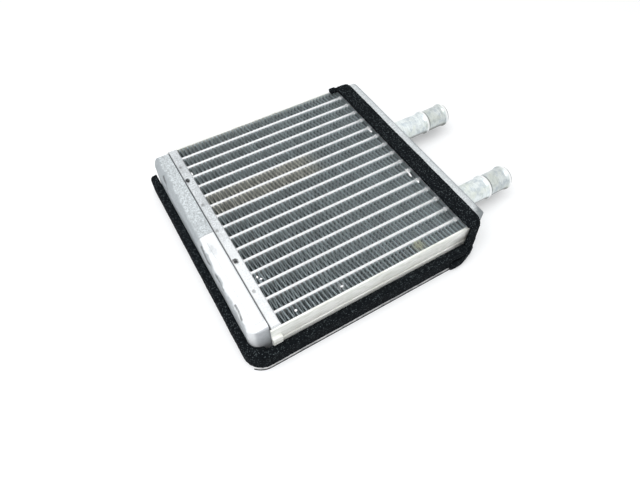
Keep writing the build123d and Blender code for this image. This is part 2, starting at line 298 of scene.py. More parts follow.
def add(tree, kind, values=None, **options):
    """Add a node, set its options, and set or join the inputs named in values."""
    node = tree.nodes.new(kind)
    for name, value in options.items():
        setattr(node, name, value)
    for name, value in (values or {}).items():
        feed(tree, node.inputs[name], value)
    return node


def feed(tree, socket, value):
    """Join a socket to another node's output, or set its own value."""
    if isinstance(value, bpy.types.NodeSocket):
        tree.links.new(value, socket)
    else:
        socket.default_value = value


def maths(tree, operation, *values, **options):
    """Output of a maths node on numbers or sockets."""
    values = dict(enumerate(values))
    return add(tree, "ShaderNodeMath", values, operation=operation, **options).outputs[0]


def vectors(tree, operation, *values):
    """Node that works on vectors or sockets."""
    return add(tree, "ShaderNodeVectorMath", dict(enumerate(values)), operation=operation)


def vector(tree, x=0.0, y=0.0, z=0.0):
    """Output of a node that makes a vector of three numbers or sockets."""
    return add(tree, "ShaderNodeCombineXYZ", {"X": x, "Y": y, "Z": z}).outputs[0]


def new_tree(name, kind, inputs, outputs):
    """A tree with named inputs and outputs, and its input and output nodes."""
    tree = bpy.data.node_groups.new(name, kind)
    for label, socket, default in inputs:
        item = tree.interface.new_socket(label, in_out="INPUT", socket_type=socket)
        if default is not None:
            item.default_value = default
    for label, socket in outputs:
        tree.interface.new_socket(label, in_out="OUTPUT", socket_type=socket)
    return tree, add(tree, "NodeGroupInput").outputs, add(tree, "NodeGroupOutput").inputs


def linked(name, data):
    """A new object in the scene."""
    thing = bpy.data.objects.new(name, data)
    bpy.context.scene.collection.objects.link(thing)
    return thing


def grown(name, tree, values, base=None):
    """The plain mesh that a geometry tree makes from a mesh and values for its named inputs."""
    holder = linked(name, base or bpy.data.meshes.new(name))
    modifier = holder.modifiers.new(name, "NODES")
    modifier.node_group = tree
    for item in tree.interface.items_tree:
        if item.in_out == "INPUT" and item.name in values:
            modifier[item.identifier] = values[item.name]
    mesh = settled(holder)
    bpy.data.objects.remove(holder)
    mesh.name = name
    return mesh


def settled(holder):
    """The plain mesh of an object, with its modifiers worked in."""
    graph = bpy.context.evaluated_depsgraph_get()
    return bpy.data.meshes.new_from_object(holder.evaluated_get(graph))


def place(name, mesh, material, slot, *nodes):
    """Put a finished mesh in the scene, in place of nodes of the model."""
    piece = linked(name, mesh)
    mesh.materials.clear()
    mesh.materials.append(material)
    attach(piece, ROOT)
    if nodes:
        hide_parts(*nodes)
    return piece


def dress(node, material):
    """Give a node of the model its finish."""
    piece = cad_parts[node]
    for material_slot in piece.material_slots:
        material_slot.material = material


def merged_copy(*nodes):
    """The shape of some nodes as an editable mesh, with whole faces and no doubled points."""
    shape = bmesh.new()
    for node in nodes:
        shape.from_mesh(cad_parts[node].data)
    bmesh.ops.remove_doubles(shape, verts=shape.verts, dist=0.001 * MM)
    bmesh.ops.dissolve_limit(shape, angle_limit=math.radians(1), verts=shape.verts,
                             edges=shape.edges)
    return shape


def cut_up(shape, spacing):
    """Cut a shape along all three axes, so that its walls can bend."""
    for axis in range(3):
        places = [point.co[axis] for point in shape.verts]
        steps = max(1, round((max(places) - min(places)) / spacing))
        normal = Vector((0, 0, 0))
        normal[axis] = 1
        for step in range(1, steps):
            at = normal * (min(places) + (max(places) - min(places)) * step / steps)
            everything = shape.verts[:] + shape.edges[:] + shape.faces[:]
            bmesh.ops.bisect_plane(shape, geom=everything, plane_co=at, plane_no=normal,
                                   dist=0.0001 * MM)


def finished_mesh(shape, name, sharp=35):
    """Turn an editable shape into a mesh with smooth faces and crisp edges."""
    mesh = bpy.data.meshes.new(name)
    shape.to_mesh(mesh)
    shape.free()
    mesh.shade_smooth()
    mesh.set_sharp_from_angle(angle=math.radians(sharp))
    return mesh


def smooth(value):
    """Ease from 0 to 1 between 0 and 1."""
    value = min(1.0, max(0.0, value))
    return value * value * (3 - 2 * value)


def cloud(tree, scale, stretch=None, detail=3.0, roughness=0.6):
    """Noise on the object's own coordinates, stretched by a vector."""
    place_on = add(tree, "ShaderNodeTexCoord").outputs["Object"]
    if stretch is not None:
        place_on = vectors(tree, "MULTIPLY", place_on, stretch).outputs[0]
    return add(tree, "ShaderNodeTexNoise", {
        "Vector": place_on, "Scale": scale, "Detail": detail, "Roughness": roughness,
    }).outputs[0]


def grain_group():
    """Shader group: fine grain of a rough surface, as a height and a tone."""
    tree, given, out = new_tree("Grain", "ShaderNodeTree", [
        ("Scale", "NodeSocketFloat", 900.0),
        ("Stretch", "NodeSocketVector", (1, 1, 1)),
        ("Detail", "NodeSocketFloat", 3.0),
    ], [("Height", "NodeSocketFloat"), ("Tone", "NodeSocketFloat")])
    fine = cloud(tree, given["Scale"], given["Stretch"], given["Detail"])
    tree.links.new(fine, out["Height"])
    tone = add(tree, "ShaderNodeMapRange", {
        "Value": fine, "From Min": 0.35, "From Max": 0.65,
    }).outputs[0]
    tree.links.new(tone, out["Tone"])
    return tree


def blotch_group():
    """Shader group: soft uneven patches, such as bloom, stains and smudges."""
    tree, given, out = new_tree("Blotches", "ShaderNodeTree", [
        ("Scale", "NodeSocketFloat", 90.0),
        ("Stretch", "NodeSocketVector", (1, 1, 1)),
        ("Cover", "NodeSocketFloat", 0.4),
        ("Softness", "NodeSocketFloat", 0.12),
    ], [("Mask", "NodeSocketFloat")])
    uneven = cloud(tree, given["Scale"], given["Stretch"], 5.0, 0.62)
    edge = maths(tree, "SUBTRACT", 0.5, maths(
        tree, "MULTIPLY", maths(tree, "SUBTRACT", given["Cover"], 0.5), 0.36))
    mask = add(tree, "ShaderNodeMapRange", {
        "Value": uneven,
        "From Min": maths(tree, "SUBTRACT", edge, given["Softness"]),
        "From Max": maths(tree, "ADD", edge, given["Softness"]),
    }, interpolation_type="SMOOTHSTEP").outputs[0]
    tree.links.new(mask, out["Mask"])
    return tree


def speck_group():
    """Shader group: small bright specks, such as lint or open cells in foam."""
    tree, given, out = new_tree("Specks", "ShaderNodeTree", [
        ("Scale", "NodeSocketFloat", 700.0),
        ("Size", "NodeSocketFloat", 0.3),
        ("Share", "NodeSocketFloat", 0.2),
    ], [("Mask", "NodeSocketFloat")])
    place_on = add(tree, "ShaderNodeTexCoord").outputs["Object"]
    cells = add(tree, "ShaderNodeTexVoronoi", {"Vector": place_on, "Scale": given["Scale"]})
    near = add(tree, "ShaderNodeMapRange", {
        "Value": cells.outputs["Distance"], "From Min": given["Size"],
        "From Max": maths(tree, "MULTIPLY", given["Size"], 0.4),
    }).outputs[0]
    chosen = maths(tree, "LESS_THAN",
                   add(tree, "ShaderNodeSeparateColor",
                       {"Color": cells.outputs["Color"]}).outputs[0],
                   given["Share"])
    tree.links.new(maths(tree, "MULTIPLY", near, chosen), out["Mask"])
    return tree


def patch_group():
    """Shader group: one rounded patch with a frayed edge."""
    tree, given, out = new_tree("Patch", "ShaderNodeTree", [
        ("Centre", "NodeSocketVector", (0, 0, 0)),
        ("Reach", "NodeSocketVector", (0.01, 0.01, 0.01)),
        ("Softness", "NodeSocketFloat", 0.3),
        ("Fray", "NodeSocketFloat", 0.3),
        ("Fray Scale", "NodeSocketFloat", 500.0),
    ], [("Mask", "NodeSocketFloat")])
    place_on = add(tree, "ShaderNodeTexCoord").outputs["Object"]
    away = vectors(tree, "SUBTRACT", place_on, given["Centre"]).outputs[0]
    shrunk = vectors(tree, "DIVIDE", away, given["Reach"]).outputs[0]
    distance = vectors(tree, "LENGTH", shrunk).outputs["Value"]
    frayed = maths(tree, "ADD", distance, fray(tree, given))
    tree.links.new(inside(tree, frayed, 1.0, given["Softness"]), out["Mask"])
    return tree


def band_group():
    """Shader group: one straight band across the object, with a frayed edge."""
    tree, given, out = new_tree("Band", "ShaderNodeTree", [
        ("Direction", "NodeSocketVector", (0, 0, 1)),
        ("Place", "NodeSocketFloat", 0.0),
        ("Half Width", "NodeSocketFloat", 0.001),
        ("Softness", "NodeSocketFloat", 0.0002),
        ("Fray", "NodeSocketFloat", 0.0),
        ("Fray Scale", "NodeSocketFloat", 500.0),
    ], [("Mask", "NodeSocketFloat")])
    place_on = add(tree, "ShaderNodeTexCoord").outputs["Object"]
    along = vectors(tree, "DOT_PRODUCT", place_on, given["Direction"]).outputs["Value"]
    shifted = maths(tree, "ADD", along, fray(tree, given))
    distance = maths(tree, "ABSOLUTE", maths(tree, "SUBTRACT", shifted, given["Place"]))
    tree.links.new(inside(tree, distance, given["Half Width"], given["Softness"]), out["Mask"])
    return tree


def stroke_group():
    """Shader group: one thin line from a start to an end, with a frayed edge."""
    tree, given, out = new_tree("Stroke", "ShaderNodeTree", [
        ("Start", "NodeSocketVector", (0, 0, 0)),
        ("End", "NodeSocketVector", (0.01, 0, 0)),
        ("Half Width", "NodeSocketFloat", 0.0003),
        ("Softness", "NodeSocketFloat", 0.0003),
        ("Fray", "NodeSocketFloat", 0.0),
        ("Fray Scale", "NodeSocketFloat", 500.0),
    ], [("Mask", "NodeSocketFloat")])
    place_on = add(tree, "ShaderNodeTexCoord").outputs["Object"]
    line = vectors(tree, "SUBTRACT", given["End"], given["Start"]).outputs[0]
    away = vectors(tree, "SUBTRACT", place_on, given["Start"]).outputs[0]
    length = vectors(tree, "DOT_PRODUCT", line, line).outputs["Value"]
    along = maths(tree, "DIVIDE", vectors(tree, "DOT_PRODUCT", away, line).outputs["Value"],
                  length, use_clamp=True)
    nearest = add(tree, "ShaderNodeVectorMath", {0: line, "Scale": along},
                  operation="SCALE").outputs[0]
    distance = vectors(tree, "DISTANCE", away, nearest).outputs["Value"]
    frayed = maths(tree, "ADD", distance, fray(tree, given))
    tree.links.new(inside(tree, frayed, given["Half Width"], given["Softness"]), out["Mask"])
    return tree


def fray(tree, given):
    """Uneven shift of an edge, from a group's own inputs."""
    uneven = cloud(tree, given["Fray Scale"])
    return maths(tree, "MULTIPLY", maths(tree, "SUBTRACT", uneven, 0.5), given["Fray"])


def inside(tree, distance, limit, softness):
    """1 below a limit and 0 above it, eased over the softness."""
    return add(tree, "ShaderNodeMapRange", {
        "Value": distance, "From Min": maths(tree, "ADD", limit, softness),
        "From Max": maths(tree, "SUBTRACT", limit, softness),
    }, interpolation_type="SMOOTHSTEP").outputs[0]


def grouped(tree, name, values):
    """Place a shader group in a material and return its outputs."""
    node = add(tree, "ShaderNodeGroup", node_tree=bpy.data.node_groups[name])
    for label, value in values.items():
        feed(tree, node.inputs[label], value)
    return node.outputs


def mixed(tree, factor, first, second):
    """Colour between two colours or sockets."""
    node = tree.nodes.new("ShaderNodeMix")
    node.data_type = "RGBA"
    feed(tree, node.inputs[0], factor)
    for socket, value in ((node.inputs[6], first), (node.inputs[7], second)):
        if not isinstance(value, bpy.types.NodeSocket):
            value = (*value, 1)
        feed(tree, socket, value)
    return node.outputs[2]


def between(tree, factor, first, second):
    """Number between two numbers."""
    return add(tree, "ShaderNodeMapRange", {
        "Value": factor, "To Min": first, "To Max": second,
    }).outputs[0]


def new_material(name, metallic=0.0, specular=0.5):
    """A material with one main shader."""
    material = bpy.data.materials.new(name)
    material.use_nodes = True
    shader = material.node_tree.nodes["Principled BSDF"]
    shader.inputs["Metallic"].default_value = metallic
    shader.inputs["Specular IOR Level"].default_value = specular
    return material, material.node_tree, shader.inputs


def bumped(tree, height, distance, strength=1.0):
    """Normal of a surface with a fine relief."""
    return add(tree, "ShaderNodeBump", {
        "Height": height, "Distance": distance, "Strength": strength,
    }).outputs[0]


def marked(tree, base, marks):
    """A colour with marks over it, each a group, its inputs, a strength and a colour."""
    for group, values, strength, shade in marks:
        mask = grouped(tree, group, values)["Mask"]
        base = mixed(tree, maths(tree, "MULTIPLY", mask, strength), base, shade)
    return base


def toned(tint, factor):
    """A colour made darker or lighter."""
    return tuple(min(1.0, part * factor) for part in tint)


def metres(*lengths):
    """Lengths in mm as lengths in metres."""
    return tuple(length * MM for length in lengths)


def band(direction, at, half_width, softness, fray=0.0, scale=500.0):
    """The Band group and its inputs, from lengths in mm."""
    return "Band", {"Direction": direction, "Place": at * MM, "Half Width": half_width * MM,
                    "Softness": softness * MM, "Fray": fray * MM, "Fray Scale": scale}


def patch(centre, reach, softness, fray, scale=500.0):
    """The Patch group and its inputs, from lengths in mm."""
    return "Patch", {"Centre": metres(*centre), "Reach": metres(*reach),
                     "Softness": softness, "Fray": fray, "Fray Scale": scale}


def stroke(start, end, half_width, softness, fray):
    """The Stroke group and its inputs, from lengths in mm."""
    return "Stroke", {"Start": metres(*start), "End": metres(*end), "Fray": fray * MM,
                      "Half Width": half_width * MM, "Softness": softness * MM}


def metal(name, tint, contrast, metallic, roughness, grain, blotch, relief, marks=()):
    """An aluminium finish: grain and dull patches, with marks over them."""
    material, tree, shader = new_material(name, metallic)
    fine = grouped(tree, "Grain", grain)
    dull = grouped(tree, "Blotches", blotch)["Mask"]
    grained = mixed(tree, fine["Tone"], toned(tint, 1 + contrast), toned(tint, 1 - contrast))
    dulled = mixed(tree, maths(tree, "MULTIPLY", dull, DULL_SHARE), grained,
                   toned(tint, DULL_TONE))
    feed(tree, shader["Base Color"], marked(tree, dulled, marks))
    feed(tree, shader["Roughness"],
         between(tree, dull, roughness, min(1.0, roughness * DULL_ROUGHNESS)))
    feed(tree, shader["Normal"], bumped(tree, fine["Height"], relief))
    return material


def tube_material(finish):
    """Bright flat tubes with a fine drawn grain and white traces of flux."""
    return metal("Extruded Tube", finish.tube, contrast=0.06, metallic=0.5, roughness=0.36,
                 grain={"Scale": 900.0, "Stretch": (0.4, 1, 1)},
                 blotch={"Scale": 160.0, "Cover": 0.2}, relief=0.06 * MM)


def fin_material(finish):
    """Fin strip: bare bright edges, painted shade deep down with uneven blotches, painted light
    and shade on the flanks, painted light through some rows and painted highlights at glints.
    """
    material, tree, shader = new_material("Fin Strip", metallic=0.6)
    half_depth = (high(FINS[0]).z - low(FINS[0]).z) / 2 / MM
    # Painted shade: the strip is darker from 1.7 mm inside either face of the core inwards
    deep = grouped(tree, *band(Z, middle(FINS[0]).z / MM, half_depth - 1.7, 0.8, 0.5, 700.0))
    deep = deep["Mask"]
    # The flank attribute carries painted light and shade: one side of each wave lighter than the
    # other
    flank = add(tree, "ShaderNodeAttribute", attribute_name="flank").outputs["Fac"]
    # Painted shade: blotches of deeper shade in the dark deep part
    shade_blotches = grouped(tree, "Blotches", {"Scale": 26.0, "Cover": 0.5, "Softness": 0.2})["Mask"]
    edge = mixed(tree, flank, toned(finish.fin_edge, 0.06), finish.fin_edge)
    uneven_deep_shade = mixed(tree, shade_blotches, toned(finish.fin, 0.55), finish.fin)
    inner = mixed(tree, flank, toned(finish.fin, 0.2), uneven_deep_shade)
    base = mixed(tree, deep, edge, inner)
    # Painted light through the lit rows, lighter on one side of each wave
    lit = maths(tree, "MULTIPLY",
                grouped(tree, *band(Y, *LIT_ROWS, 0.3))["Mask"],
                grouped(tree, *band(X, *LIT_STRETCH, 9.0, 14.0, 90.0))["Mask"])
    bright = mixed(tree, flank, (0.06, 0.065, 0.06), (1.0, 1.0, 0.93))
    base = mixed(tree, lit, base, mixed(tree, deep, bright, (0.13, 0.15, 0.137)))
    # Painted highlights at the glints on the fins' upper edges
    base = marked(tree, base, [
        (*patch((x, y, TOP), (reach, reach, 4), 0.6, 0.9), strength, shade)
        for x, y, reach, strength, shade in GLINTS
    ])
    feed(tree, shader["Base Color"], base)
    shader["Roughness"].default_value = 0.4
    return material


def stake_marks():
    """Painted shade in the stake marks of the left header and of the tank's lip under it."""
    return [
        (*patch((x, y, TOP), (*reach, 6), 0.35, 1.5, 900.0), strength, (tone, tone, tone))
        for places, reach, strength, tone in ((FAINT_STAKES, (1.0, 1.3), 0.55, 0.14),
                                              (DEEP_STAKES, (1.5, 2.1), 0.95, 0.01))
        for x, y in places
    ]


def header_material(finish):
    """Header tray: a fine sandy grain, painted light over its near half, painted shade in the
    stake marks, and a dark seam.
    """
    # Painted light: the near half of the header paler, where the light falls strongest
    painted_light_patch = (*patch((-90, -45, TOP), (9, 40, 20), 0.5, 0.9, 200.0), 0.55, (0.90, 0.92, 0.93))
    seam = (*band(X, SEAM_X / MM, 0.35, 0.25), 0.7, (0.1, 0.1, 0.11))
    return metal("Header Tray", finish.header, contrast=0.3, metallic=0.35, roughness=0.5,
                 grain={"Scale": 1100.0, "Detail": 2.0}, blotch={"Scale": 120.0, "Cover": 0.35},
                 relief=0.1 * MM, marks=[painted_light_patch, *stake_marks(), seam])


def left_tank_marks():
    """Painted light over the near half, its step, painted shade on the outer wall, at the near
    end and in the creases and stake marks, a smudge, and the seam.
    """
    near = low("tank_left").y / MM
    # Painted light: the near half of the upper face paler
    painted_light_near_half = band(Y, (near + STEP_Y) / 2, (STEP_Y - near) / 2, 0.4, 1.0, 300.0)
    step = band(Y, STEP_Y, 0.3, 0.35, 0.8, 250.0)
    # Painted shade: the outer wall and its rounding darker where they face sideways, and the near
    # end darker
    shaded_outer_wall = band((0.99963, -0.0275, 0), WALL_X / MM - 0.5, 2.9, 0.7, 5.0, 90.0)
    shaded_near_end = band(Y, near, 0.9, 0.7, 1.2, 200.0)
    smudge = patch((-99.6, -11.0, TOP), (2.4, 4.6, 4), 0.8, 2.2, 420.0)
    # Painted shade: a darker line along the near end's top edge, and dark lines in the creases
    shaded_top_line = stroke((-102.2, -72.6, TOP), (-94.7, -72.3, TOP), 0.3, 0.5, 0.8)
    creases = [stroke(start, end, 0.8, 0.6, 1.4) for start, end in CREASES]
    seam = band(X, SEAM_X / MM, 0.35, 0.3)
    return [
        (*painted_light_near_half, 0.85, (0.92, 0.94, 0.96)),
        (*step, 0.55, (0.22, 0.23, 0.24)),
        (*shaded_outer_wall, 0.8, (0.34, 0.37, 0.39)),
        (*shaded_near_end, 0.7, (0.38, 0.40, 0.43)),
        (*smudge, 0.5, (0.40, 0.42, 0.44)),
        (*shaded_top_line, 0.5, (0.30, 0.31, 0.33)),
        *((*crease, 0.8, (0.10, 0.105, 0.11)) for crease in creases),
        *stake_marks(),
        (*seam, 0.9, (0.03, 0.03, 0.03)),
    ]


def right_tank_marks():
    """A painted highlight strip on the top, and painted shade on the rounding round the stubs'
    side and at the near corner.
    """
    wall = STUB_WALL / MM
    # Painted highlight: a lighter strip on the top, just inside the rounding
    highlight_strip = band(X, wall - 5.6, 2.0, 0.8)
    # Painted shade: the rounding darker where it turns away from the light, and the near corner
    # darker
    rounding = band(X, wall, 2.2, 0.7, 0.8, 200.0)
    corner = patch((wall, low("tank_right").y / MM, TOP - 4), (9, 9, 16), 0.35, 0.6, 200.0)
    return [
        (*highlight_strip, 0.3, (0.85, 0.87, 0.88)),
        (*rounding, 0.8, (0.20, 0.22, 0.23)),
        (*corner, 0.9, (0.17, 0.19, 0.20)),
    ]


def tank_material(name, finish, marks):
    """Pressed tank: a sandy grain, with its own marks."""
    return metal(name, finish.tank, contrast=0.3, metallic=0.35, roughness=0.5,
                 grain={"Scale": 1150.0, "Detail": 2.0}, blotch={"Scale": 80.0, "Cover": 0.3},
                 relief=0.1 * MM, marks=marks)


def plate_material(finish):
    """Side plate: warm rolled finish, a brown step line and painted shadow at its right end."""
    step = band(Z, 17.2, 0.35, 0.4, 0.9, 200.0)
    # Painted shadow: the lower right end of the plate darker
    end_shadow = patch((50, low("side_plate_near").y / MM, 17), (14, 6, 8), 0.55, 0.7, 250.0)
    bloom = "Blotches", {"Scale": 260.0, "Stretch": (0.35, 1, 1), "Cover": 0.25}
    return metal("Side Plate", finish.plate, contrast=0.1, metallic=0.3, roughness=0.45,
                 grain={"Scale": 700.0, "Stretch": (0.25, 1, 1)},
                 blotch={"Scale": 90.0, "Stretch": (0.3, 1, 1), "Cover": 0.25},
                 relief=0.05 * MM, marks=[
                     (*step, 0.4, (0.30, 0.27, 0.20)),
                     (*end_shadow, 0.85, (0.12, 0.12, 0.11)),
                     (*bloom, 0.35, (0.50, 0.50, 0.42)),
                 ])


def stub_material(finish):
    """Turned stub: turning lines, grey-blue and greenish smudges, painted highlights on the
    beads' crests, and painted shade in their grooves, in the bore and underneath.
    """
    material, tree, shader = new_material("Turned Stub", metallic=0.55)
    lines = grouped(tree, "Grain", {"Scale": 300.0, "Stretch": (6, 0.5, 0.5)})
    blue = grouped(tree, "Blotches", {"Scale": 230.0, "Cover": 0.4})["Mask"]
    green = grouped(tree, "Blotches", {"Scale": 110.0, "Cover": 0.35})["Mask"]
    base = mixed(tree, lines["Tone"], toned(finish.stub, 1.08), toned(finish.stub, 0.86))
    base = mixed(tree, maths(tree, "MULTIPLY", blue, 0.6), base, (0.42, 0.49, 0.55))
    base = mixed(tree, maths(tree, "MULTIPLY", green, 0.35), base, (0.66, 0.70, 0.56))
    # Painted shade: the stub darker on its underside, below 14.4 mm
    shaded_underside = band(Z, 0.0, 14.4, 1.5, 1.0, 200.0)
    base = marked(tree, base, [(*shaded_underside, 0.75, (0.12, 0.12, 0.10))])
    # The tone attribute: painted highlights on the crests, painted shade in the grooves and the
    # bore
    tone = add(tree, "ShaderNodeAttribute", attribute_name="tone").outputs["Fac"]
    for sign, shade in ((1.0, (0.97, 0.97, 0.97)), (-1.0, (0.06, 0.065, 0.06))):
        base = mixed(tree, maths(tree, "MULTIPLY", tone, sign, use_clamp=True), base, shade)
    feed(tree, shader["Base Color"], base)
    feed(tree, shader["Roughness"], between(tree, blue, 0.3, 0.5))
    feed(tree, shader["Normal"], bumped(tree, lines["Height"], 0.05 * MM))
    return material


def foam_material(finish):
    """Black foam with an open grain and many tiny specks."""
    material, tree, shader = new_material("Foam", specular=0.03)
    grain = grouped(tree, "Grain", {"Scale": 1500.0, "Detail": 4.0})
    specks = grouped(tree, "Specks", {"Scale": 1500.0, "Size": 0.5, "Share": 0.3})["Mask"]
    ground = mixed(tree, grain["Tone"], finish.foam, toned(finish.foam, 2.6))
    strength = maths(tree, "MULTIPLY", specks, between(tree, grain["Tone"], 0.2, 1.0))
    feed(tree, shader["Base Color"], mixed(tree, strength, ground, finish.speck))
    shader["Roughness"].default_value = 0.9
    feed(tree, shader["Normal"], bumped(tree, grain["Height"], 0.5 * MM))
    return material


def liner_material():
    """Glossy edge of the tape's liner."""
    material, tree, shader = new_material("Tape Liner", specular=0.6)
    broken = grouped(tree, "Blotches", {"Scale": 130.0, "Cover": 0.45})["Mask"]
    feed(tree, shader["Base Color"], mixed(tree, broken, (0.92, 0.92, 0.92),
                                           (0.42, 0.43, 0.44)))
    shader["Roughness"].default_value = 0.25
    return material


def make_materials():
    """Every finish, by the name that the pieces ask for."""
    for group in (grain_group, blotch_group, speck_group, patch_group, band_group,
                  stroke_group):
        group()
    finish = settings().finish
    return {
        "tube": tube_material(finish),
        "fin": fin_material(finish),
        "header": header_material(finish),
        "tank_left": tank_material("Left Tank", finish, left_tank_marks()),
        "tank_right": tank_material("Right Tank", finish, right_tank_marks()),
        "plate": plate_material(finish),
        "stub": stub_material(finish),
        "braze": metal("Braze Fillet", (0.92, 0.93, 0.94), contrast=0.08, metallic=0.45,
                       roughness=0.3, grain={"Scale": 800.0},
                       blotch={"Scale": 200.0, "Cover": 0.2}, relief=0.05 * MM),
        "foam": foam_material(finish),
        "liner": liner_material(),
    }


def fin_tree():
    """Geometry tree of one fin row: bends and louvred flanks of a thin strip."""
    tree, given, out = new_tree("Fin Row", "GeometryNodeTree", [
        ("Low Corner", "NodeSocketVector", None),
        ("Length", "NodeSocketFloat", 0.13),
        ("Height", "NodeSocketFloat", 0.008),
        ("Depth", "NodeSocketFloat", 0.026),
        ("Waves", "NodeSocketInt", 47),
        ("Gauge", "NodeSocketFloat", 0.0001),
        ("Crest", "NodeSocketFloat", 0.0008),
        ("Leg", "NodeSocketFloat", 0.0009),
        ("Entry", "NodeSocketFloat", 0.0012),
        ("Louvres", "NodeSocketInt", 9),
        ("Louvre Angle", "NodeSocketFloat", 0.4),
        ("Waver", "NodeSocketFloat", 0.0002),
        ("Seed", "NodeSocketFloat", 0.0),
        ("Bend Place", "NodeSocketVector", None),
        ("Bend Reach", "NodeSocketFloat", 0.003),
        ("Bend Shift", "NodeSocketFloat", 0.0),
        ("Contrast", "NodeSocketFloat", 0.2),
        ("Material", "NodeSocketMaterial", None),
    ], [("Geometry", "NodeSocketGeometry")])

    flanks = maths(tree, "MULTIPLY", given["Waves"], 2)
    pitch = maths(tree, "DIVIDE", maths(tree, "SUBTRACT", given["Length"], given["Crest"]),
                  flanks)
    run = maths(tree, "SUBTRACT", pitch, given["Crest"])
    rise = maths(tree, "SUBTRACT", given["Height"], maths(tree, "MULTIPLY", given["Leg"], 2))
    lean = maths(tree, "ARCTAN2", run, rise)
    flank_length = maths(tree, "SQRT", maths(
        tree, "ADD", maths(tree, "MULTIPLY", run, run), maths(tree, "MULTIPLY", rise, rise)))
    half_crest = maths(tree, "MULTIPLY", given["Crest"], 0.5)
    half_depth = maths(tree, "MULTIPLY", given["Depth"], 0.5)
    half_entry = maths(tree, "MULTIPLY", given["Entry"], 0.5)
    bank = maths(tree, "SUBTRACT", half_depth, maths(tree, "MULTIPLY", given["Entry"], 1.5))
    louvre = maths(tree, "DIVIDE", bank, given["Louvres"])

    plain = add(tree, "GeometryNodeMeshCube", {
        "Size": vector(tree, given["Gauge"], flank_length, given["Entry"])}).outputs[0]
    slat = add(tree, "GeometryNodeMeshCube", {
        "Size": vector(tree, given["Gauge"], flank_length, louvre)}).outputs[0]
    flank = add(tree, "GeometryNodeJoinGeometry")
    for height in (half_entry, half_depth,
                   maths(tree, "SUBTRACT", given["Depth"], half_entry)):
        moved = add(tree, "GeometryNodeTransform", {
            "Geometry": plain, "Translation": vector(tree, z=height)})
        tree.links.new(moved.outputs[0], flank.inputs[0])
    for start, sign in ((given["Entry"], 1), (maths(tree, "ADD", half_depth, half_entry), -1)):
        first = maths(tree, "ADD", start, maths(tree, "MULTIPLY", louvre, 0.5))
        line = add(tree, "GeometryNodeMeshLine", {
            "Count": given["Louvres"], "Start Location": vector(tree, z=first),
            "Offset": vector(tree, z=louvre)})
        angle = maths(tree, "MULTIPLY", given["Louvre Angle"], sign)
        bank_of_louvres = add(tree, "GeometryNodeInstanceOnPoints", {
            "Points": line.outputs[0], "Instance": slat, "Rotation": vector(tree, y=angle)})
        tree.links.new(bank_of_louvres.outputs[0], flank.inputs[0])

    index = add(tree, "GeometryNodeInputIndex").outputs[0]
    odd = maths(tree, "MODULO", index, 2)
    sign = maths(tree, "SUBTRACT", maths(tree, "MULTIPLY", odd, 2), 1)
    flank_line = add(tree, "GeometryNodeMeshLine", {
        "Count": flanks,
        "Start Location": vector(
            tree, maths(tree, "ADD", half_crest, maths(tree, "MULTIPLY", pitch, 0.5)),
            maths(tree, "MULTIPLY", given["Height"], 0.5)),
        "Offset": vector(tree, pitch)})
    flank_row = add(tree, "GeometryNodeInstanceOnPoints", {
        "Points": flank_line.outputs[0], "Instance": flank.outputs[0],
        "Rotation": vector(tree, z=maths(tree, "MULTIPLY", sign, lean))})

    left = maths(tree, "MULTIPLY", half_crest, -1)
    foot = maths(tree, "MULTIPLY", given["Leg"], -1)
    top = maths(tree, "DIVIDE", given["Leg"], 3)
    bend_path = add(tree, "GeometryNodeCurvePrimitiveBezierSegment", {
        "Resolution": 7,
        "Start": vector(tree, left, foot), "Start Handle": vector(tree, left, top),
        "End Handle": vector(tree, half_crest, top), "End": vector(tree, half_crest, foot)})
    upright = add(tree, "GeometryNodeSetCurveNormal", {"Curve": bend_path.outputs[0]},
                  mode="Z_UP")
    strip = add(tree, "GeometryNodeCurvePrimitiveQuadrilateral", {
        "Width": given["Gauge"], "Height": given["Depth"]})
    bend = add(tree, "GeometryNodeCurveToMesh", {
        "Curve": upright.outputs[0], "Profile Curve": strip.outputs[0], "Fill Caps": True})
    raised = add(tree, "GeometryNodeTransform", {
        "Geometry": bend.outputs[0], "Translation": vector(tree, z=half_depth)})
    bend_line = add(tree, "GeometryNodeMeshLine", {
        "Count": maths(tree, "ADD", flanks, 1), "Start Location": vector(tree, half_crest),
        "Offset": vector(tree, pitch)})
    bend_points = add(tree, "GeometryNodeSetPosition", {
        "Geometry": bend_line.outputs[0],
        "Offset": vector(tree, y=maths(tree, "MULTIPLY", odd, given["Height"]))})
    bend_turn = maths(tree, "MULTIPLY", maths(tree, "SUBTRACT", 1, odd), math.pi)
    bend_row = add(tree, "GeometryNodeInstanceOnPoints", {
        "Points": bend_points.outputs[0], "Instance": raised.outputs[0],
        "Rotation": vector(tree, z=bend_turn)})

